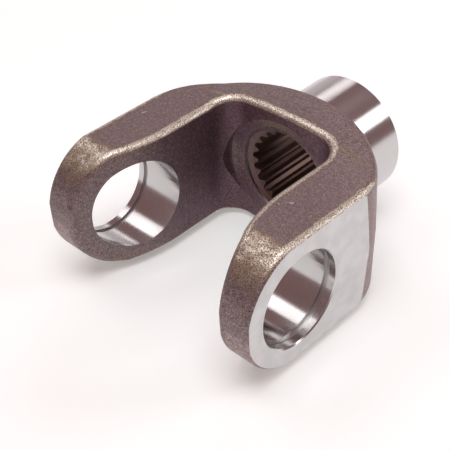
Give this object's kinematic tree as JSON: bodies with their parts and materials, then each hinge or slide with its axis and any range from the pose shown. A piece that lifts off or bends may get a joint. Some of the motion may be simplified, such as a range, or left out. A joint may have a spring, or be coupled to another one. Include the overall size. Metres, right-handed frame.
{
  "type": "forged yoke",
  "caption": "Forged steel driveline yoke: two ears with a cross bore for the bearing caps of a universal joint, joined by a web with a splined, turned hub.",
  "frame": {"origin": "crossing of the cross-bore axis and the hub axis, half way between the milled ear faces", "axes": "+X along the cross bore, +Y from the ears to the hub, +Z along the forging direction, square to the flat arms"},
  "size_m": [0.0986, 0.1127, 0.0564],
  "materials": {
    "forged_steel": "shot-blasted forging skin, with the ear faces, bores and hub machined bright"
  },
  "bodies": {
    "root": {"forged_yoke": "forged_steel"}
  },
  "joints": []
}
